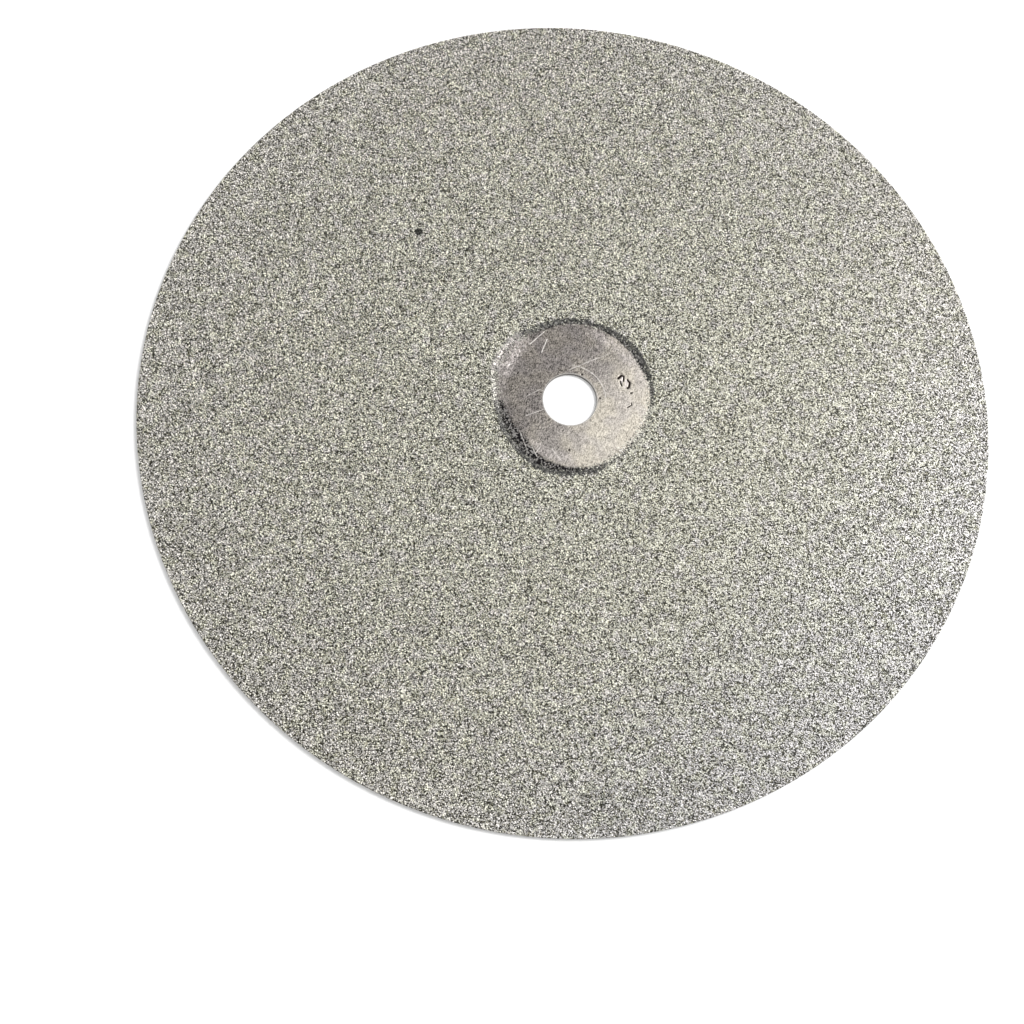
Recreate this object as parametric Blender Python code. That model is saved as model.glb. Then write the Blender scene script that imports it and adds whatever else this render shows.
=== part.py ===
"""Diamond grinding disc for a lapidary flat lap.

A thin steel disc with a half-inch bore is plated with nickel on one face and over its rim, and the nickel
holds a layer of diamond grit. A round mask kept the plating off the middle, which leaves a bare steel hub
for the clamp nut. The mask sat a little off the bore's centre, so the coating's inner edge does too.

Metres, +Z out of the grinding face. The origin is on the bore's axis, on the bare back face.
"""

from math import radians

import bmesh
import bpy
from mathutils import Matrix

# The whole disc
DISC_DIAMETER = 0.2000  # over the plating on the rim
BORE_DIAMETER = 0.0127  # half an inch
STEEL_THICKNESS = 0.0010

# The plating
BOND_LINE = 0.00003  # the gap that stands for the thin nickel strike between two layers
NICKEL_THICKNESS = 0.00022
NICKEL_RIM_THICKNESS = 0.00012  # the nickel that wraps round the rim
NICKEL_RIM_FOOT = 0.00020  # where that wrap ends, above the back face
GRIT_THICKNESS = 0.00024  # how far the crystals stand out of the nickel
GRIT_RIM_INSET = 0.00020  # from the rim to the first full-height crystals

# The masked hub
HUB_DIAMETER = 0.0382  # where the grit starts
HUB_OFFSET_X = 0.0005
HUB_OFFSET_Y = 0.0008
NICKEL_SHOULDER = 0.0009  # width of the nickel's thin sloped edge inside the grit
FEATHER_EDGE = 0.00006  # the nickel's thickness at the foot of that slope
ETCH_DEPTH = 0.00002  # how far the acid bath before plating lowered the steel outside the mask
ETCH_CREEP = 0.00020  # how far that bath crept inwards under the mask, past the nickel's edge

# Broken edges and facets
BORE_CHAMFER = 0.00020
RIM_CHAMFER = 0.00015
GRIT_EDGE_SLOPE = 0.00015
SEGMENTS = 128
SHARP_ANGLE = radians(25)


def clear_scene():
    for obj in list(bpy.data.objects):
        bpy.data.objects.remove(obj)


def principled(name, colour, roughness, metallic):
    material = bpy.data.materials.new(name)
    material.use_nodes = True
    shader = material.node_tree.nodes["Principled BSDF"]
    shader.inputs["Base Color"].default_value = (*colour, 1.0)
    shader.inputs["Roughness"].default_value = roughness
    shader.inputs["Metallic"].default_value = metallic
    material.diffuse_color = (*colour, 1.0)
    return material


def add_circle(bm, radius, height, centre=(0.0, 0.0)):
    """One ring of vertices of the turned profile."""
    place = Matrix.Translation((centre[0], centre[1], height))
    circle = bmesh.ops.create_circle(bm, segments=SEGMENTS, radius=radius, matrix=place)
    return circle["verts"]


def turned_ring(name, profile, material, parent):
    """A closed ring-shaped solid. The profile is one (radius, height, centre) for each edge of its section,
    read once round the section: down the outer side, inwards along the bottom, and back up the bore."""
    bm = bmesh.new()
    circles = [add_circle(bm, *point) for point in profile]
    for upper, lower in zip(circles, circles[1:] + circles[:1]):
        for i in range(SEGMENTS):
            j = (i + 1) % SEGMENTS
            bm.faces.new((upper[i], lower[i], lower[j], upper[j]))
    bmesh.ops.recalc_face_normals(bm, faces=bm.faces)
    mesh = bpy.data.meshes.new(name)
    bm.to_mesh(mesh)
    bm.free()
    mesh.shade_smooth()
    mesh.set_sharp_from_angle(angle=SHARP_ANGLE)
    mesh.materials.append(material)
    obj = bpy.data.objects.new(name, mesh)
    obj.parent = parent
    bpy.context.scene.collection.objects.link(obj)
    return obj


def steel_disc(parent):
    """The backing disc, with a chamfered bore and rim. The bare hub stands a hair above the etched face."""
    bore = BORE_DIAMETER / 2
    rim = DISC_DIAMETER / 2 - NICKEL_RIM_THICKNESS - BOND_LINE
    top = STEEL_THICKNESS
    etched = top - ETCH_DEPTH
    mask_edge = HUB_DIAMETER / 2 - NICKEL_SHOULDER - ETCH_CREEP
    hub = (HUB_OFFSET_X, HUB_OFFSET_Y)
    on_axis = (0.0, 0.0)
    profile = [
        (rim - RIM_CHAMFER, etched, on_axis),
        (rim, etched - RIM_CHAMFER, on_axis),
        (rim, RIM_CHAMFER, on_axis),
        (rim - RIM_CHAMFER, 0.0, on_axis),
        (bore + BORE_CHAMFER, 0.0, on_axis),
        (bore, BORE_CHAMFER, on_axis),
        (bore, top - BORE_CHAMFER, on_axis),
        (bore + BORE_CHAMFER, top, on_axis),
        (mask_edge, top, hub),
        (mask_edge + ETCH_DEPTH, etched, hub),
    ]
    steel = principled("ground_steel", (0.46, 0.42, 0.39), 0.38, 1.0)
    return turned_ring("steel_disc", profile, steel, parent)


def nickel_bond_layer(parent):
    """The plated nickel: thin at the hub, flat under the grit, and wrapped down over the rim."""
    outside = DISC_DIAMETER / 2
    inside = outside - NICKEL_RIM_THICKNESS
    bottom = STEEL_THICKNESS - ETCH_DEPTH + BOND_LINE
    top = bottom + NICKEL_THICKNESS
    shoulder = HUB_DIAMETER / 2
    foot = shoulder - NICKEL_SHOULDER
    hub = (HUB_OFFSET_X, HUB_OFFSET_Y)
    on_axis = (0.0, 0.0)
    profile = [
        (outside - RIM_CHAMFER, top, on_axis),
        (outside, top - RIM_CHAMFER, on_axis),
        (outside, NICKEL_RIM_FOOT, on_axis),
        (inside, NICKEL_RIM_FOOT, on_axis),
        (inside, bottom - RIM_CHAMFER, on_axis),
        (inside - RIM_CHAMFER, bottom, on_axis),
        (foot, bottom, hub),
        (foot, bottom + FEATHER_EDGE, hub),
        (shoulder, top, hub),
    ]
    nickel = principled("plated_nickel", (0.38, 0.37, 0.34), 0.45, 1.0)
    return turned_ring("nickel_bond_layer", profile, nickel, parent)


def diamond_grit_layer(parent):
    """The crystals above the nickel, as one flat ring of their height."""
    rim = DISC_DIAMETER / 2 - GRIT_RIM_INSET
    bottom = STEEL_THICKNESS - ETCH_DEPTH + BOND_LINE + NICKEL_THICKNESS + BOND_LINE
    top = bottom + GRIT_THICKNESS
    edge = HUB_DIAMETER / 2 + GRIT_EDGE_SLOPE
    hub = (HUB_OFFSET_X, HUB_OFFSET_Y)
    on_axis = (0.0, 0.0)
    profile = [
        (rim - GRIT_EDGE_SLOPE, top, on_axis),
        (rim, bottom, on_axis),
        (edge, bottom, hub),
        (edge + GRIT_EDGE_SLOPE, top, hub),
    ]
    grit = principled("diamond_grit", (0.40, 0.39, 0.33), 0.60, 0.0)
    return turned_ring("diamond_grit_layer", profile, grit, parent)


def main():
    clear_scene()
    disc = bpy.data.objects.new("grinding_disc", None)
    bpy.context.scene.collection.objects.link(disc)
    steel_disc(disc)
    nickel_bond_layer(disc)
    diamond_grit_layer(disc)


main()
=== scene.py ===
"""Looks of the diamond grinding disc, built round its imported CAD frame.

The disc lies on a pale floor with its grinding face up. Three layers are made here in finer detail than the
CAD solids that they stand for: the ground steel backing, the plated nickel, and the diamond crystals, each a
closed polyhedron of its own. Sizes that the CAD fixes are read from the frame. The others are in millimetres
and are turned into metres where a mesh or a node needs them.
"""

from math import cos, pi, radians, sin

import bpy
import numpy as np
from mathutils import Matrix, Vector


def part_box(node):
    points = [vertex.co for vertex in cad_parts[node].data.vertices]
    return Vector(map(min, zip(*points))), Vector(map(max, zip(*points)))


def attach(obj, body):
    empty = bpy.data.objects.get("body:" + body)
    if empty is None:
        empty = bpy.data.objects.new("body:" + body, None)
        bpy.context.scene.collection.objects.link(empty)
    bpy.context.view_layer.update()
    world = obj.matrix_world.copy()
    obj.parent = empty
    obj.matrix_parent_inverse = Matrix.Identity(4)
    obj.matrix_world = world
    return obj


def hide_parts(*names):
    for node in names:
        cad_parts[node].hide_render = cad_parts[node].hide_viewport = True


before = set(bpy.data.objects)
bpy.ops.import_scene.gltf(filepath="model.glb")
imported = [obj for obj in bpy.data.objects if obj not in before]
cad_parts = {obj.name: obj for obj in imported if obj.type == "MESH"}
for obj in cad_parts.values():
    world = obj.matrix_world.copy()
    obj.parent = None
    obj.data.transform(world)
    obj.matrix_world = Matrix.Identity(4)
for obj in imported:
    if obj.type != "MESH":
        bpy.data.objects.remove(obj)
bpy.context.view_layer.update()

MM = 0.001

# --- Sizes read from the frame ---------------------------------------------------------------------------
_, steel_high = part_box("steel_disc")
nickel_low, nickel_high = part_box("nickel_bond_layer")
_, grit_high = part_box("diamond_grit_layer")

DISC_RADIUS = nickel_high.x / MM
STEEL_RADIUS = steel_high.x / MM
STEEL_TOP = steel_high.z / MM
NICKEL_TOP = nickel_high.z / MM
NICKEL_FOOT = nickel_low.z / MM
DISC_TOP = grit_high.z / MM

# --- The steel and the nickel ----------------------------------------------------------------------------
BORE_RADIUS = 6.35
BORE_CHAMFER = 0.2
RIM_CHAMFER = 0.15
HUB_CENTRE = (0.5, 0.8)  # the plating's mask sat off the bore's axis by this much
HUB_RINGS_END = 20.6  # the steel's mesh is fine as far out as this, under the coating's edge
HUB_RING_STEP = 0.13
STEEL_SEGMENTS = 720
SCRATCH_DEPTH = 0.012
PIT_RIM_DEPTH = 0.04
PIT_FLOOR_DEPTH = 0.015

SHOULDER_WIDTH = 1.0  # the smooth sloped edge of the nickel, inside the grit
FEATHER_EDGE = 0.008  # the nickel's thickness at the foot of that slope
NICKEL_GAP = 0.004  # between the nickel and the steel
NICKEL_DIP = 0.015  # from the top of the nickel's box down to its uneven face
NICKEL_LUMPS = 0.012  # how uneven that face is
NICKEL_ROUND_START = 23.0  # further out than this, the nickel's rings lie round the bore's axis
RIM_CORNER = 0.12
FOOT_CORNER = 0.03
NICKEL_SEGMENTS = 900
SHARP_ANGLE = radians(25)

# --- The hub's edge and marks ----------------------------------------------------------------------------
# The coating's ragged edge round the hub, by direction from HUB_CENTRE in degrees: how far out the full
# grit starts, how wide the dark residue and painted shade inside it is, how dark that is from 0 to 1, and
# how wide the grit thins out
EDGE = np.array([
    (0, 19.1, 1.4, 0.20, 2.0),
    (20, 19.4, 1.1, 0.60, 1.6),
    (45, 19.8, 2.1, 1.00, 2.0),
    (62, 19.6, 1.6, 1.00, 1.8),
    (80, 19.5, 1.1, 0.80, 1.2),
    (95, 19.6, 1.2, 0.80, 1.2),
    (108, 19.6, 1.3, 1.00, 1.3),
    (130, 19.3, 1.5, 1.00, 1.4),
    (148, 20.6, 1.0, 0.00, 3.4),
    (170, 20.6, 1.0, 0.00, 3.6),
    (190, 18.8, 1.8, 0.12, 2.0),
    (205, 18.4, 2.8, 0.75, 1.8),
    (230, 18.8, 3.8, 1.00, 2.0),
    (250, 19.4, 3.3, 1.00, 1.8),
    (265, 19.8, 2.8, 1.00, 1.6),
    (288, 19.1, 1.7, 0.90, 1.8),
    (310, 18.8, 1.5, 0.33, 2.6),
    (335, 18.9, 1.4, 0.20, 3.0),
])
EDGE_ROUNDING = (-6, -2, 2, 6)  # each edge number is a mean over these directions, in degrees to either side
OUTLINE_SEED = 3
OUTLINE_WAVES = (5, 9, 17, 31, 53, 71)
OUTLINE_WOBBLE = 0.16

# Pale smears of nickel on the steel, with a painted highlight where they lie: their span of directions,
# their span of distances, and their strength
SMEARS_AND_SHEEN = (
    (138, 178, 15.6, 20.8, 0.95),
    (172, 206, 16.0, 19.4, 0.45),
    (28, 92, 15.2, 18.0, 0.35),
    (236, 286, 13.8, 16.6, 0.45),
)

# Marks on the bare steel, by their two ends from the bore's axis. The last number is the width of a pit's
# lip, painted dark as shade, or of its floor, painted bright as a highlight, or how plain a scratch is
# from 0 to 1.
PIT_STROKES = (
    (10.1, 7.8, 10.7, 8.6, 0.35),
    (10.7, 8.6, 11.3, 8.6, 0.22),
    (11.3, 8.6, 11.4, 7.4, 0.24),
    (10.7, 7.1, 11.2, 6.2, 0.24),
    (12.3, 7.9, 13.0, 7.3, 0.27),
    (13.0, 7.3, 13.0, 6.2, 0.32),
    (12.7, 5.9, 12.8, 5.9, 0.32),
    (13.7, 4.8, 14.0, 5.0, 0.22),
    (14.2, 2.4, 14.5, 2.0, 0.16),
    (14.5, 2.0, 13.6, 1.1, 0.16),
    (2.3, -12.2, 2.3, -12.3, 0.27),
    (6.8, 1.9, 6.9, 1.9, 0.24),
    (1.5, 6.7, 1.6, 6.8, 0.24),
    (-14.9, 7.4, -14.8, 7.3, 0.22),
    (-13.4, 3.4, -13.2, 3.8, 0.19),
)
PIT_FLOORS = (
    (11.0, 8.1, 11.1, 7.0, 0.35),
    (12.1, 7.5, 12.4, 6.7, 0.38),
    (12.0, 6.1, 12.1, 6.0, 0.27),
)
SCRATCHES = (
    (-8.3, 13.6, -8.9, 9.9, 1.0),
    (-9.4, 15.2, -12.0, 11.4, 0.9),
    (-5.5, -3.9, -9.2, -6.3, 0.5),
    (-7.1, 1.0, -10.1, -1.6, 0.4),
    (-1.6, 7.2, 4.4, 11.7, 0.5),
    (4.0, 11.2, 7.0, 13.6, 0.3),
    (-9.8, -10.4, -7.5, -14.0, 0.5),
    (-6.4, -13.2, -4.6, -15.6, 0.6),
    (-4.4, -13.2, -5.2, -15.0, 0.5),
    (-1.6, -12.9, 0.8, -15.0, 0.5),
)
SCRATCH_WIDTH = 0.17
SCRATCH_RING = 8.5  # the radius of a scratch that a turning washer left
BRUSHING = 86  # the direction in degrees of the steel's brushed grain

# --- The grit --------------------------------------------------------------------------------------------
CRYSTAL_PITCH = 0.46
CRYSTAL_SCATTER = 0.22 * CRYSTAL_PITCH
CRYSTAL_RADIUS = 0.215
OCTAHEDRON_WIDENING = 1.25  # it fills less of its sphere than the blocky form, so it is made larger
BLOCKY_SHARE = 0.12
CLAMP_RADIUS = 17.3  # no crystal is nearer the bore's axis than this, so a clamp nut sits on bare steel
BARE_SPOTS = ((-44.2, 33.4, 0.95), (34.3, 66.2, 0.35))  # places where the plating took no grit
GRADES = (0.22, 0.27, 0.32, 0.36, 0.40, 0.44, 0.48, 0.52, 0.57, 0.62)  # from dark crystals to clear ones
GRIT_SEED = 11
GOLDEN_ANGLE = pi * (3 - 5**0.5)

# --- Colours ---------------------------------------------------------------------------------------------
GRIT_OLIVE = (1.0, 0.982, 0.845, 1)
GRIT_PURPLISH = (1.01, 0.971, 0.918, 1)
GRIT_COOL = (0.985, 1.0, 1.06, 1)
GRIT_YELLOW_FLECK = (1.0, 0.96, 0.60)
# Even grey over the grit where the nickel smears lie, partly painted highlight.
GRIT_SMEAR_AND_SHEEN = (0.32, 0.30, 0.288, 1)
DARK_GRAIN = (0.02, 0.02, 0.02, 1)
# The next four steel colours are painted: shade at the upper left, light at the lower right, shade spots and
# a highlight spot.
STEEL_SHADE_SIDE = (0.190, 0.173, 0.161, 1)
STEEL_LIT_SIDE = (0.390, 0.360, 0.322, 1)
STEEL_SHADE_SPOT = (0.190, 0.176, 0.165, 1)
STEEL_HIGHLIGHT_SPOT = (0.47, 0.44, 0.39, 1)
STEEL_COOL_PATCH = (0.95, 0.95, 0.965, 1)
STEEL_WARM_PATCH = (1.045, 1.04, 0.995, 1)
# Pale nickel smear on the steel, partly painted highlight.
NICKEL_SMEAR_AND_SHEEN = (0.52, 0.475, 0.455, 1)
# The residue's near black is partly painted shade at the coating's edge.
RESIDUE_AND_SHADE_DARK = (0.009, 0.008, 0.009, 1)
RESIDUE_PALE = (0.24, 0.23, 0.22, 1)
CHAMFER_BRIGHT = (0.62, 0.60, 0.57, 1)
# The bore wall's colour is painted shade.
BORE_WALL_SHADE = (0.11, 0.10, 0.09, 1)
# A pit's floor is painted bright as a highlight and its lip painted dark as shade.
PIT_FLOOR_HIGHLIGHT = (0.46, 0.42, 0.40, 1)
PIT_RIM_SHADE = (0.012, 0.009, 0.008, 1)
SCRATCH_BRIGHT = (0.92, 0.88, 0.83, 1)
WHITE = (1, 1, 1, 1)
FLOOR_PALE = (0.90, 0.90, 0.90, 1)

# --- The stage, in metres --------------------------------------------------------------------------------
FLOOR_SIZE = 8.0
WORLD_STRENGTH = 0.86
SOFTBOX_PLACE = (0.545, 0.36, 0.85)
SOFTBOX_TARGET = (0.03, 0, 0)
SOFTBOX_SIZE = 0.45
SOFTBOX_POWER = 9.4
CAMERA_PLACE = (-0.00748, -0.1056, 0.2818)
CAMERA_TILT = radians(15.10)
CAMERA_ROLL = radians(12.62)
CAMERA_LENS = 44.72
CAMERA_SENSOR = 36.0


# --- Shapes ----------------------------------------------------------------------------------------------
def angles(count):
    return np.linspace(0.0, 2 * pi, count, endpoint=False)


def wobble(theta, seed, waves, size):
    """A smooth random outline: sine waves round the circle, each with its own phase."""
    rng = np.random.default_rng(seed)
    total = np.zeros_like(theta)
    for count in waves:
        total += np.sin(count * theta + rng.uniform(0, 2 * pi)) * rng.uniform(0.5, 1.0)
    return total * size / np.sqrt(len(waves))


def smooth(value, low, high):
    """0 where value is low or less, 1 where it is high or more, and smooth between."""
    share = ((value - low) / (high - low)).clip(0, 1)
    return share * share * (3 - 2 * share)


def from_segment(x, y, x0, y0, x1, y1):
    """The distance of each point from the straight line between two places."""
    run = np.array([x1 - x0, y1 - y0])
    along = (((x - x0) * run[0] + (y - y0) * run[1]) / (run @ run)).clip(0, 1)
    return np.hypot(x - x0 - along * run[0], y - y0 - along * run[1])


def mesh_object(name, points, corners, starts):
    """An object from its points in metres, the point at each face corner, and each face's first corner."""
    mesh = bpy.data.meshes.new(name)
    mesh.vertices.add(len(points))
    mesh.vertices.foreach_set("co", points.astype(np.float32).ravel())
    mesh.loops.add(len(corners))
    mesh.loops.foreach_set("vertex_index", corners.astype(np.int32))
    mesh.polygons.add(len(starts))
    mesh.polygons.foreach_set("loop_start", starts.astype(np.int32))
    mesh.update(calc_edges=True)
    obj = bpy.data.objects.new(name, mesh)
    bpy.context.scene.collection.objects.link(obj)
    return obj


def set_marks(obj, marks):
    """Stores a number at each of the mesh's points under each name, for the materials to read."""
    for name, values in marks.items():
        mark = obj.data.attributes.new(name, "FLOAT", "POINT")
        mark.data.foreach_set("value", values.astype(np.float32))


def ring_points(radius, height, theta, centre=(0.0, 0.0)):
    radius = np.broadcast_to(radius, theta.shape)
    height = np.broadcast_to(height, theta.shape)
    return np.stack([centre[0] + radius * np.cos(theta), centre[1] + radius * np.sin(theta), height], axis=-1)


def turned_object(name, rings, material, node):
    """A closed ring-shaped piece from rings of points in millimetres. They are read once round its section:
    up the bore, outwards over the top, down the rim and back along the bottom."""
    rings = np.array(rings)
    count, segments = rings.shape[:2]
    here = np.arange(count * segments).reshape(count, segments)
    after = np.roll(here, -1, axis=0)
    quads = np.stack([here, after, np.roll(after, -1, axis=1), np.roll(here, -1, axis=1)], axis=-1)
    quads = quads.reshape(-1, 4)
    obj = mesh_object(name, rings.reshape(-1, 3) * MM, quads.ravel(), np.arange(len(quads)) * 4)
    obj.data.shade_smooth()
    obj.data.set_sharp_from_angle(angle=SHARP_ANGLE)
    obj.data.materials.append(material)
    place(obj, node)
    return obj


def place(obj, node):
    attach(obj, "root")
    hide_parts(node)


# --- Shader helpers --------------------------------------------------------------------------------------
class Shading:
    """One material's node tree, with short names for the nodes that are used most. Places are in
    millimetres from the bore's axis, and the flat ones have no height."""

    def __init__(self, name):
        self.material = bpy.data.materials.new(name)
        self.material.use_nodes = True
        self.tree = self.material.node_tree
        self.shader = self.tree.nodes["Principled BSDF"]
        self.solid = self.scaled(self.node("TexCoord").outputs["Object"], 1 / MM)
        self.flat = self.vector("MULTIPLY", self.solid, (1, 1, 0))
        self.from_axis = self.vector("LENGTH", self.flat)

    def node(self, kind, **settings):
        made = self.tree.nodes.new("ShaderNode" + kind)
        for key, value in settings.items():
            setattr(made, key, value)
        return made

    def feed(self, socket, value):
        if isinstance(value, bpy.types.NodeSocket):
            self.tree.links.new(value, socket)
        else:
            socket.default_value = value

    def set(self, **values):
        """Sets or links the Principled shader's inputs, named with _ for a space."""
        for key, value in values.items():
            self.feed(self.shader.inputs[key.replace("_", " ")], value)

    def math(self, operation, a, b=0.0, c=0.0):
        made = self.node("Math", operation=operation)
        for socket, value in zip(made.inputs, (a, b, c)):
            self.feed(socket, value)
        return made.outputs[0]

    def add(self, *values):
        total = values[0]
        for value in values[1:]:
            total = self.math("ADD", total, value)
        return total

    def times(self, *values):
        total = values[0]
        for value in values[1:]:
            total = self.math("MULTIPLY", total, value)
        return total

    def most(self, *values):
        total = values[0]
        for value in values[1:]:
            total = self.math("MAXIMUM", total, value)
        return total

    def centred(self, value, size):
        """A number from 0 to 1 turned into one from -size / 2 to size / 2."""
        return self.times(self.math("SUBTRACT", value, 0.5), size)

    def vector(self, operation, a, b=(0.0, 0.0, 0.0)):
        made = self.node("VectorMath", operation=operation)
        self.feed(made.inputs[0], a)
        self.feed(made.inputs[1], b)
        return made.outputs["Value" if operation in ("DOT_PRODUCT", "LENGTH", "DISTANCE") else "Vector"]

    def scaled(self, vector, by):
        made = self.node("VectorMath", operation="SCALE")
        self.feed(made.inputs[0], vector)
        self.feed(made.inputs["Scale"], by)
        return made.outputs[0]

    def ramp(self, value, low, high, start=0.0, end=1.0):
        """start where value is low or less, end where it is high or more, and smooth between."""
        made = self.node("MapRange", interpolation_type="SMOOTHSTEP")
        for socket, number in zip(made.inputs, (value, low, high, start, end)):
            self.feed(socket, number)
        return made.outputs[0]

    def ridge(self, value, middle, soft):
        """Highest, at a quarter, where value is middle, and 0 where it is more than soft away."""
        rising = self.ramp(value, middle - soft, middle + soft)
        falling = self.ramp(value, middle - soft, middle + soft, 1, 0)
        return self.times(rising, falling)

    def mix(self, share, a, b):
        made = self.node("Mix", data_type="RGBA")
        self.feed(made.inputs["Factor"], share)
        self.feed(made.inputs[6], a)
        self.feed(made.inputs[7], b)
        return made.outputs[2]

    def noise(self, size, detail=2.0, where=None):
        """Noise from 0 to 1, mostly near 0.5, with features about size millimetres across."""
        made = self.node("TexNoise")
        self.feed(made.inputs["Vector"], where or self.solid)
        self.feed(made.inputs["Scale"], 1 / size)
        self.feed(made.inputs["Detail"], detail)
        return made.outputs["Fac"]

    def cells(self, size):
        """A random number from 0 to 1 for each cell, about size millimetres across."""
        made = self.node("TexVoronoi")
        self.feed(made.inputs["Vector"], self.solid)
        self.feed(made.inputs["Scale"], 1 / size)
        parts = self.node("SeparateColor")
        self.feed(parts.inputs[0], made.outputs["Color"])
        return parts.outputs[0]

    def streaks(self, angle, along, toward_lit_side):
        """Noise drawn out into streaks at this angle, with their length and width in millimetres."""
        turned = self.node("Mapping", vector_type="TEXTURE")
        self.feed(turned.inputs["Vector"], self.flat)
        turned.inputs["Rotation"].default_value = (0, 0, radians(angle))
        turned.inputs["Scale"].default_value = (along, toward_lit_side, 1)
        return self.noise(1.0, 2.0, turned.outputs["Vector"])

    def towards(self, angle, wide, narrow):
        """1 in the directions from the hub's centre within narrow degrees of angle, 0 past wide degrees."""
        from_hub = self.vector("SUBTRACT", self.flat, (*HUB_CENTRE, 0))
        aim = (cos(radians(angle)), sin(radians(angle)), 0)
        near = self.vector("DOT_PRODUCT", self.vector("NORMALIZE", from_hub), aim)
        return self.ramp(near, cos(radians(wide)), cos(radians(narrow)))

    def spot(self, x, y, radius, soft):
        away = self.vector("DISTANCE", self.flat, (x, y, 0))
        return self.ramp(away, radius - soft, radius + soft, 1, 0)

    def line(self, x0, y0, x1, y1, width):
        """A straight scratch from one place to another."""
        start, run = Vector((x0, y0, 0)), Vector((x1 - x0, y1 - y0, 0))
        from_start = self.vector("SUBTRACT", self.flat, start)
        along = self.vector("DOT_PRODUCT", from_start, run / run.length_squared)
        clamp = self.node("Clamp")
        self.feed(clamp.inputs[0], along)
        nearest = self.scaled(run, clamp.outputs[0])
        away = self.vector("DISTANCE", from_start, nearest)
        return self.ramp(away, 0, width, 1, 0)

    def mark(self, name):
        """A number that the mesh holds at each of its points. It is 0 on a mesh without it."""
        return self.node("Attribute", attribute_name=name).outputs["Fac"]

    def bump(self, height, strength, distance):
        made = self.node("Bump")
        self.feed(made.inputs["Strength"], strength)
        self.feed(made.inputs["Distance"], distance * MM)
        self.feed(made.inputs["Height"], height)
        return made.outputs[0]


# --- The hub's edge --------------------------------------------------------------------------------------
def edge_at(theta):
    """The last four columns of EDGE in each direction, with their corners rounded off."""
    turn = np.degrees(theta)
    directions, *columns = EDGE.T
    means = []
    for column in columns:
        near = [np.interp(turn + shift, directions, column, period=360) for shift in EDGE_ROUNDING]
        means.append(sum(near) / len(near))
    return means


def hub_edge(theta):
    """How far from HUB_CENTRE the full grit starts, in each direction."""
    return edge_at(theta)[0] + wobble(theta, OUTLINE_SEED, OUTLINE_WAVES, OUTLINE_WOBBLE)


def from_hub_centre(x, y):
    """The direction and the distance of each point from HUB_CENTRE."""
    hub_x, hub_y = x - HUB_CENTRE[0], y - HUB_CENTRE[1]
    return np.arctan2(hub_y, hub_x), np.hypot(hub_x, hub_y)


def past_edge(x, y):
    """How far each point is past the edge of the full grit, and how wide the grit thins out there."""
    theta, distance = from_hub_centre(x, y)
    return distance - hub_edge(theta), edge_at(theta)[3]


def smear_and_sheen_at(theta, distance):
    """How much smeared nickel and painted highlight lies at each point, from 0 to 1."""
    turn = np.degrees(theta) % 360
    smear_and_sheen = np.zeros_like(turn)
    for start, end, low, high, level in SMEARS_AND_SHEEN:
        window = smooth(turn, start - 4, start + 10) * smooth(-turn, -end - 4, -end + 10)
        window = window * smooth(distance, low - 0.6, low + 1.0) * smooth(-distance, -high - 0.4, -high + 1.0)
        smear_and_sheen = np.maximum(smear_and_sheen, level * window)
    return smear_and_sheen


def edge_marks(x, y):
    """At each point, from 0 to 1: the dark residue and painted shade inside the grit's edge, the pale
    nickel smears with their painted highlight, and how much fine grit dusts the steel."""
    theta, distance = from_hub_centre(x, y)
    inside = hub_edge(theta) - distance
    width, strength, fade = edge_at(theta)[1:]
    stain_and_shade = strength * smooth(inside, -0.5, 0.2) * smooth(-inside / width, -1.25, -0.55)
    smear_and_sheen = smear_and_sheen_at(theta, distance)
    dust = smooth(-inside / (fade + 0.6), -1.0, 0.1) * (1 - 0.5 * smear_and_sheen)
    return {"stain_and_shade": stain_and_shade, "smear_and_sheen": smear_and_sheen, "dust": dust}


# --- Colour that more than one layer shares --------------------------------------------------------------
def edge_stain_and_shade(s):
    """The dark residue and painted shade inside the grit's edge, with a frayed outline."""
    frayed = s.add(s.centred(s.noise(0.55, 3.0), 3.6), 1.0)
    return s.ramp(s.times(s.mark("stain_and_shade"), frayed), 0.16, 0.6)


def grit_tint(s):
    """Olive grey, mottled with a purplish grey that gains ground towards the rim, and cooler at one side."""
    rim = s.math("POWER", s.times(s.from_axis, 1 / DISC_RADIUS), 2.5)
    mottle = s.add(s.noise(2.6, 2.0, s.flat), s.times(rim, 0.15))
    tint = s.mix(s.ramp(mottle, 0.49, 0.68), GRIT_OLIVE, GRIT_PURPLISH)
    aside = s.vector("DOT_PRODUCT", s.flat, (0.85, -0.53, 0))
    cool = s.mix(s.ramp(aside, 0.3 * DISC_RADIUS, DISC_RADIUS), WHITE, GRIT_COOL)
    return s.vector("MULTIPLY", tint, cool)


def speckled(s, low, high):
    """The grit's colour: a random level between low and high for each fleck, near black under the residue
    and painted shade and in the bare spots, and an even grey under smeared nickel and its painted highlight."""
    fleck = s.ramp(s.cells(0.23), 0.38, 0.62)
    level = s.math("MULTIPLY_ADD", fleck, high - low, low)
    # The grit turns near black under the residue and painted shade.
    stain_and_shade_cover = s.times(edge_stain_and_shade(s), s.ramp(s.cells(0.4), 0.74, 0.80, 1.0, 0.35))
    clean = s.ramp(stain_and_shade_cover, 0, 1, 1.0, 0.06)
    for x, y, radius in BARE_SPOTS:
        clean = s.times(clean, s.ramp(s.spot(x, y, radius, 0.3 * radius), 0, 1, 1.0, 0.12))
    tint = grit_tint(s)
    tint = s.mix(fleck, s.vector("MULTIPLY", tint, GRIT_YELLOW_FLECK), tint)
    colour = s.scaled(tint, s.times(level, clean))
    # An even grey over the grit where the smears lie: smeared nickel and painted highlight.
    return s.mix(s.ramp(s.mark("smear_and_sheen"), 0.0, 0.7, 0.0, 0.88), colour, GRIT_SMEAR_AND_SHEEN)


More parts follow.
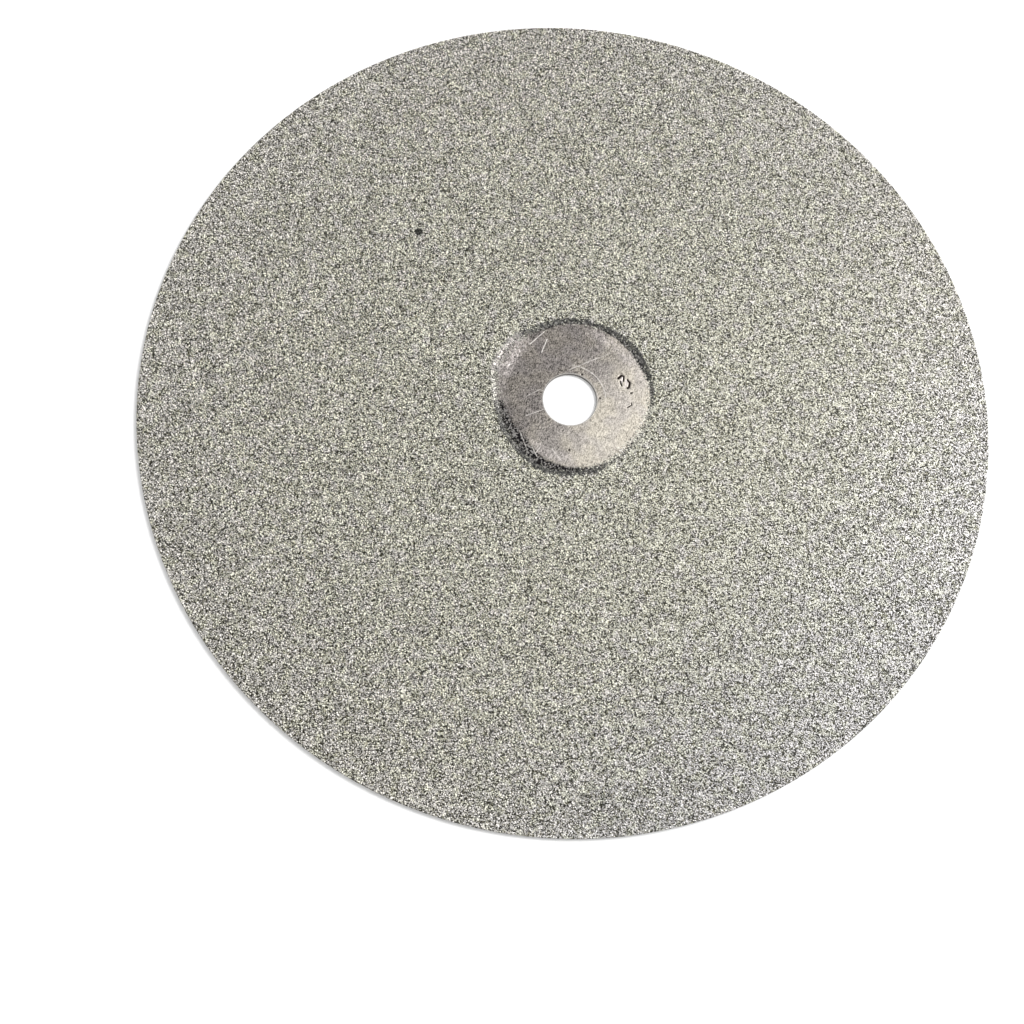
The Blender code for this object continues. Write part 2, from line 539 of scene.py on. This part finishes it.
# --- Diamond crystals ------------------------------------------------------------------------------------
def diamond_material(index, level):
    s = Shading(f"diamond_grade_{index + 1:02d}")
    s.set(Base_Color=speckled(s, level * 0.05, min(level * 2.15, 1.0)))
    s.set(Roughness=s.ramp(s.cells(0.3), 0, 1, 0.18, 0.5))
    s.set(IOR=1.8)
    return s.material


def octahedron():
    """Points, and faces as corner lists, of a crystal with eight facets."""
    points = np.array([(1, 0, 0), (-1, 0, 0), (0, 1, 0), (0, -1, 0), (0, 0, 1), (0, 0, -1)], float)
    faces = []
    for x in (0, 1):
        for y in (2, 3):
            for z in (4, 5):
                turn = (x == 1) ^ (y == 3) ^ (z == 5)
                faces.append((x, z, y) if turn else (x, y, z))
    return points, faces


def cuboctahedron():
    """A blocky crystal: an octahedron with its six points cut off, so fourteen facets."""
    points = []
    for zero in range(3):
        for first in (1, -1):
            for second in (1, -1):
                corner = [first, second]
                corner.insert(zero, 0)
                points.append(corner)
    points = np.array(points, float) / np.sqrt(2)
    faces = []
    for signs in [(a, b, c) for a in (1, -1) for b in (1, -1) for c in (1, -1)]:
        faces.append(facet(points, np.array(signs) / np.sqrt(3), 3))
    for axis in range(3):
        for sign in (1, -1):
            out = np.zeros(3)
            out[axis] = sign
            faces.append(facet(points, out, 4))
    return points, faces


def facet(points, out, count):
    """The count corners that lie furthest along out, in order round it."""
    near = np.argsort(-(points @ out), kind="stable")[:count]
    side = points[near[0]] - out * (points[near[0]] @ out)
    side = side / np.linalg.norm(side)
    other = np.cross(out, side)
    turn = np.arctan2(points[near] @ other, points[near] @ side)
    return tuple(near[np.argsort(turn)])


def random_turns(rng, count):
    """Random rotation matrices, from random unit quaternions."""
    q = rng.normal(size=(count, 4))
    w, x, y, z = (q / np.linalg.norm(q, axis=1, keepdims=True)).T
    rows = [
        [1 - 2 * (y * y + z * z), 2 * (x * y - z * w), 2 * (x * z + y * w)],
        [2 * (x * y + z * w), 1 - 2 * (x * x + z * z), 2 * (y * z - x * w)],
        [2 * (x * z - y * w), 2 * (y * z + x * w), 1 - 2 * (x * x + y * y)],
    ]
    return np.array(rows).transpose(2, 0, 1)


def crystal_places(rng):
    """Points spread evenly over the face, like the seeds of a sunflower, and then thrown a little off."""
    count = int(pi * DISC_RADIUS**2 / CRYSTAL_PITCH**2)
    turn = np.arange(count) * GOLDEN_ANGLE
    radius = DISC_RADIUS * np.sqrt((np.arange(count) + 0.5) / count)
    x = radius * np.cos(turn) + rng.normal(0, CRYSTAL_SCATTER, count)
    y = radius * np.sin(turn) + rng.normal(0, CRYSTAL_SCATTER, count)
    beyond, fade = past_edge(x, y)
    filled = ((beyond + fade) / fade).clip(0.0, 1.0) ** 1.6  # stray crystals first, then full
    kept = rng.uniform(0, 1, count) < filled
    kept &= np.hypot(x, y) > CLAMP_RADIUS
    for spot_x, spot_y, spot_radius in BARE_SPOTS:
        kept &= np.hypot(x - spot_x, y - spot_y) > spot_radius
    return x[kept], y[kept]


def make_crystals():
    """Crystals of random size, proportions and turn. They sit half in the nickel or on the steel, below the
    top of the frame's grit and inside the disc's rim."""
    rng = np.random.default_rng(GRIT_SEED)
    x, y = crystal_places(rng)
    count = len(x)
    size = CRYSTAL_RADIUS * rng.normal(1.0, 0.12, count).clip(0.65, 1.3)
    stretch = rng.uniform(0.82, 1.22, (count, 3))
    turns = random_turns(rng, count)
    grade = rng.integers(0, len(GRADES), count)
    blocky = rng.uniform(0, 1, count) < BLOCKY_SHARE
    lift = rng.uniform(-0.03, 0.06, count)
    plated = smooth(past_edge(x, y)[0], -SHOULDER_WIDTH, 0)
    seat = STEEL_TOP + (NICKEL_TOP - STEEL_TOP) * plated + lift
    forms = ((cuboctahedron(), blocky, 1.0), (octahedron(), ~blocky, OCTAHEDRON_WIDENING))
    for index, level in enumerate(GRADES):
        groups = []
        for (corners, faces), chosen, widen in forms:
            group = chosen & (grade == index)
            scale = (stretch * size[:, None] * widen)[group]
            solid = np.einsum("nij,nkj->nki", turns[group], corners[None] * scale[:, None])
            height = np.minimum(seat[group], DISC_TOP - solid[:, :, 2].max(axis=1))
            reach = np.hypot(solid[:, :, 0], solid[:, :, 1]).max(axis=1)
            from_axis = np.hypot(x[group], y[group])
            pull = np.minimum(1.0, (DISC_RADIUS - reach) / from_axis)
            centre = np.stack([x[group] * pull, y[group] * pull, height], axis=-1)
            groups.append((solid + centre[:, None], faces))
        add_grade(f"diamond_grit_{index + 1:02d}", groups, diamond_material(index, level))


def add_grade(name, groups, material):
    """All the crystals of one grade as one object. Each is a closed solid of its own."""
    points, corners, starts = [], [], []
    base = loops = 0
    for solid, faces in groups:
        count, per = solid.shape[:2]
        points.append(solid.reshape(-1, 3))
        flat = np.concatenate([np.array(f) for f in faces])
        sizes = np.array([len(f) for f in faces])
        corners.append((base + np.arange(count)[:, None] * per + flat).ravel())
        first = np.concatenate([[0], np.cumsum(sizes)[:-1]])
        starts.append((loops + np.arange(count)[:, None] * len(flat) + first).ravel())
        base += count * per
        loops += count * len(flat)
    obj = mesh_object(name, np.concatenate(points) * MM, np.concatenate(corners), np.concatenate(starts))
    obj.data.materials.append(material)
    middles = [np.repeat(solid.mean(axis=1), solid.shape[1], axis=0) for solid, _ in groups]
    set_marks(obj, edge_marks(*np.concatenate(middles).T[:2]))
    place(obj, "diamond_grit_layer")


# --- Plated nickel ---------------------------------------------------------------------------------------
def nickel_material():
    """Dark and nodular between the crystals and on the rim, and like the hub on its thin edge."""
    s = Shading("plated_nickel")
    frayed = s.add(s.mark("plated"), s.centred(s.noise(0.5, 2.0), 1.6))
    s.set(Base_Color=s.mix(s.ramp(frayed, 0.35, 0.65), hub_colour(s), speckled(s, 0.02, 0.46)))
    s.set(Metallic=0.6, Roughness=s.ramp(s.noise(0.5, 3.0), 0.3, 0.7, 0.35, 0.6))
    s.set(Normal=s.bump(s.noise(0.25, 2.0), 0.6, 0.05))
    return s.material


def make_nickel():
    theta = angles(NICKEL_SEGMENTS)
    edge = hub_edge(theta)
    foot, face = STEEL_TOP + NICKEL_GAP, NICKEL_TOP - NICKEL_DIP
    rings = [ring_points(edge - SHOULDER_WIDTH, foot, theta, HUB_CENTRE)]
    for share in (0.0, 0.2, 0.4, 0.6, 0.8, 1.0):
        height = foot + FEATHER_EDGE + (face - foot) * smooth(np.array(share), 0, 1)
        rings.append(ring_points(edge - SHOULDER_WIDTH * (1 - share), height, theta, HUB_CENTRE))
    for beyond in (0.3, 0.7, 1.2):
        rings.append(ring_points(edge + beyond, face, theta, HUB_CENTRE))
    for radius in np.linspace(NICKEL_ROUND_START, DISC_RADIUS - 0.4, 78):
        lumps = wobble(theta, int(radius * 10), (90, 140, 210, 300), NICKEL_LUMPS)
        rings.append(ring_points(radius, face + lumps, theta))
    for turn in np.linspace(0, pi / 2, 5):
        outer = DISC_RADIUS - RIM_CORNER + RIM_CORNER * sin(turn)
        rings.append(ring_points(outer, NICKEL_TOP - RIM_CORNER + RIM_CORNER * cos(turn), theta))
    rings.append(ring_points(DISC_RADIUS, NICKEL_FOOT + FOOT_CORNER, theta))
    rings.append(ring_points(DISC_RADIUS - FOOT_CORNER, NICKEL_FOOT, theta))
    rings.append(ring_points(STEEL_RADIUS + NICKEL_GAP, NICKEL_FOOT, theta))
    rings.append(ring_points(STEEL_RADIUS + NICKEL_GAP, foot, theta))
    obj = turned_object("nickel_plating", rings, nickel_material(), "nickel_bond_layer")
    x, y, _ = np.concatenate(rings).T
    set_marks(obj, {**edge_marks(x, y), "plated": smooth(past_edge(x, y)[0], -0.9, 1.3)})


# --- Steel backing ---------------------------------------------------------------------------------------
def steel_with_painted_light(s):
    """Brownish grey at the upper left and light beige at the lower right: painted shade and painted
    light falling across the hub. Two spots of painted shade and one of painted highlight lie on it, with
    soft patches of tone. It also gives how far each place is from the painted shade side to the painted
    light side, from 0 to 1."""
    # Painted light and shade: lighter towards the lower right, darker towards the upper left.
    toward_lit_side = s.vector("DOT_PRODUCT", s.flat, (0.90, -0.43, 0))
    cloud = s.centred(s.noise(5.0, 3.0, s.flat), 14.0)
    lit_share = s.ramp(s.add(toward_lit_side, cloud), -7.0, 11.5)
    colour = s.mix(lit_share, STEEL_SHADE_SIDE, STEEL_LIT_SIDE)
    # Painted shade: two soft dark spots on the steel.
    shade_spots = s.most(s.spot(-0.5, -13.5, 3.0, 2.5), s.spot(8.0, 12.0, 3.5, 3.0))
    colour = s.mix(s.times(shade_spots, 0.45), colour, STEEL_SHADE_SPOT)
    # Painted highlight: one soft bright spot on the steel.
    colour = s.mix(s.times(s.spot(9.0, -7.5, 3.0, 2.5), 0.45), colour, STEEL_HIGHLIGHT_SPOT)
    patches = s.ramp(s.noise(5.5, 1.0, s.flat), 0.38, 0.62)
    return s.vector("MULTIPLY", colour, s.mix(patches, STEEL_COOL_PATCH, STEEL_WARM_PATCH)), lit_share


def brushed(s, colour, lit_share):
    """The colour with the brushed grain in it, which is plainer where the painted shade makes the steel dark.
    """
    grain = s.add(
        s.centred(s.streaks(BRUSHING, 1.2, 0.18), 2.6),
        s.centred(s.streaks(62, 2.0, 0.2), 1.1),
        s.centred(s.cells(0.24), 1.1),
    )
    contrast = s.ramp(lit_share, 0, 1, 1.1, 0.65)
    return s.scaled(colour, s.most(s.math("MULTIPLY_ADD", grain, contrast, 1.0), 0.15))


def fine_grit(s):
    """Dark and bright grains. The bright ones are dimmer where the dark residue and painted shade cover them.
    """
    bright = s.scaled(grit_tint(s), s.ramp(edge_stain_and_shade(s), 0, 1, 0.60, 0.15))
    return s.mix(s.ramp(s.cells(0.23), 0.35, 0.65), DARK_GRAIN, bright)


def scratched(s):
    lines = s.most(*[s.times(s.line(*ends, SCRATCH_WIDTH), strength) for *ends, strength in SCRATCHES])
    ring = s.times(s.ridge(s.from_axis, SCRATCH_RING, 0.2), s.towards(55, 55, 35), 2.0)
    worn = s.ramp(s.noise(0.6, 2.0, s.flat), 0.35, 0.6, 0.45, 1.0)
    return s.times(s.most(lines, ring), worn)


def hub_colour(s):
    """The bare steel with its painted light and shade, smears of nickel with painted highlight, brushed
    grain, residue with painted shade, fine grit, pits with painted shade on their lips and painted highlight
    on their floors, and scratches on it, a bright chamfer at the bore and a bore wall painted dark as shade."""
    colour, lit_share = steel_with_painted_light(s)
    mottle = s.add(s.noise(0.7, 3.0), s.centred(s.streaks(84, 1.8, 0.3), 0.8))
    # Pale nickel smears and painted highlight: the steel turns light grey where they lie.
    smear_and_sheen_share = s.times(s.mark("smear_and_sheen"), s.ramp(mottle, 0.36, 0.62, 0.2, 1.0))
    colour = s.mix(smear_and_sheen_share, colour, NICKEL_SMEAR_AND_SHEEN)
    colour = brushed(s, colour, lit_share)
    # Painted shade: the steel darkens further inside the band of residue.
    colour = s.scaled(colour, s.ramp(s.mark("stain_and_shade"), 0.0, 0.3, 1.0, 0.7))
    # The residue, near black with pale specks, is partly painted shade.
    residue_and_shade_colour = s.mix(s.ramp(s.cells(0.32), 0.68, 0.76), RESIDUE_AND_SHADE_DARK, RESIDUE_PALE)
    colour = s.mix(edge_stain_and_shade(s), colour, residue_and_shade_colour)
    grains = s.ramp(s.add(s.cells(0.25), s.mark("dust")), 0.92, 1.08)
    colour = s.mix(grains, colour, fine_grit(s))
    from_bore = s.math("SUBTRACT", s.from_axis, BORE_RADIUS)
    chamfer = s.ramp(from_bore, BORE_CHAMFER, 1.5 * BORE_CHAMFER, 0.6, 0)
    colour = s.mix(chamfer, colour, CHAMFER_BRIGHT)
    # Painted shade: the bore wall is painted dark, as if in shadow.
    colour = s.mix(s.ramp(from_bore, 0.01, 0.06, 1, 0), colour, BORE_WALL_SHADE)
    # Painted highlight on the pits' floors, painted shade on their lips.
    colour = s.mix(s.mark("pit_floor_highlight"), colour, PIT_FLOOR_HIGHLIGHT)
    colour = s.mix(s.mark("pit_rim_shade"), colour, PIT_RIM_SHADE)
    return s.mix(scratched(s), colour, SCRATCH_BRIGHT)


def steel_material():
    s = Shading("ground_steel")
    s.set(Base_Color=hub_colour(s), Metallic=1.0)
    s.set(Roughness=s.ramp(s.streaks(BRUSHING, 2.0, 0.2), 0.3, 0.7, 0.28, 0.42))
    s.set(Normal=s.bump(s.streaks(80, 1.8, 0.15), 0.25, 0.02))
    return s.material


def stroke(x, y, ends, width):
    """1 along a line of this width between two places, and 0 off it."""
    return smooth(-from_segment(x, y, *ends), -1.3 * width, -0.5 * width)


def hub_marks(x, y):
    """At each point: the pits' lips painted dark as shade, their floors painted bright as a highlight, and
    how far all marks lower it.
    """
    lip_shade, floor, drop = np.zeros((3, len(x)))
    for *ends, width in PIT_STROKES:
        lip_shade = np.maximum(lip_shade, stroke(x, y, ends, width))
    for *ends, width in PIT_FLOORS:
        floor = np.maximum(floor, stroke(x, y, ends, width))
    for *ends, strength in SCRATCHES:
        groove = smooth(-from_segment(x, y, *ends), -0.16, -0.04)
        drop = np.maximum(drop, SCRATCH_DEPTH * strength * groove)
    return {"pit_rim_shade": lip_shade, "pit_floor_highlight": floor}, drop + PIT_RIM_DEPTH * lip_shade + PIT_FLOOR_DEPTH * floor


def make_steel():
    theta = angles(STEEL_SEGMENTS)
    bore, rim, top = BORE_RADIUS, STEEL_RADIUS, STEEL_TOP
    rings = [ring_points(bore, BORE_CHAMFER, theta), ring_points(bore, top - BORE_CHAMFER, theta)]
    for radius in np.arange(bore + BORE_CHAMFER, HUB_RINGS_END, HUB_RING_STEP):
        points = ring_points(radius, top, theta)
        points[:, 2] -= hub_marks(*points.T[:2])[1]
        rings.append(points)
    for radius in np.linspace(22.0, rim - RIM_CHAMFER, 8):
        rings.append(ring_points(radius, top, theta))
    rings.append(ring_points(rim, top - RIM_CHAMFER, theta))
    rings.append(ring_points(rim, RIM_CHAMFER, theta))
    for radius in np.linspace(rim - RIM_CHAMFER, bore + BORE_CHAMFER, 12):
        rings.append(ring_points(radius, 0.0, theta))
    obj = turned_object("steel_backing", rings, steel_material(), "steel_disc")
    x, y, height = np.concatenate(rings).T
    marks = {**edge_marks(x, y), **hub_marks(x, y)[0]}
    set_marks(obj, {name: values * (height > top / 2) for name, values in marks.items()})


# --- Stage -----------------------------------------------------------------------------------------------
def make_floor():
    bpy.ops.mesh.primitive_plane_add(size=FLOOR_SIZE, location=(0, 0, 0))
    floor = bpy.context.object
    floor.name = "floor"
    s = Shading("pale_floor")
    s.set(Base_Color=FLOOR_PALE, Roughness=0.8, Specular_IOR_Level=0.1)
    floor.data.materials.append(s.material)


def make_world():
    world = bpy.data.worlds.new("studio")
    bpy.context.scene.world = world
    world.use_nodes = True
    background = world.node_tree.nodes["Background"]
    background.inputs["Color"].default_value = WHITE
    background.inputs["Strength"].default_value = WORLD_STRENGTH


def make_softbox():
    light = bpy.data.lights.new("softbox", "AREA")
    light.shape = "SQUARE"
    light.size = SOFTBOX_SIZE
    light.energy = SOFTBOX_POWER
    obj = bpy.data.objects.new("softbox", light)
    obj.location = SOFTBOX_PLACE
    aim = Vector(SOFTBOX_TARGET) - Vector(SOFTBOX_PLACE)
    obj.rotation_euler = aim.to_track_quat("-Z", "Y").to_euler()
    bpy.context.scene.collection.objects.link(obj)


def make_camera():
    camera = bpy.data.cameras.new("camera")
    camera.sensor_width = CAMERA_SENSOR
    camera.lens = CAMERA_LENS
    camera.clip_start = 0.01
    obj = bpy.data.objects.new("camera", camera)
    turn = Matrix.Rotation(CAMERA_TILT, 4, "X") @ Matrix.Rotation(CAMERA_ROLL, 4, "Z")
    obj.matrix_world = Matrix.Translation(CAMERA_PLACE) @ turn
    bpy.context.scene.collection.objects.link(obj)
    bpy.context.scene.camera = obj


make_steel()
make_nickel()
make_crystals()
make_floor()
make_world()
make_softbox()
make_camera()
bpy.context.scene.view_settings.view_transform = "Standard"
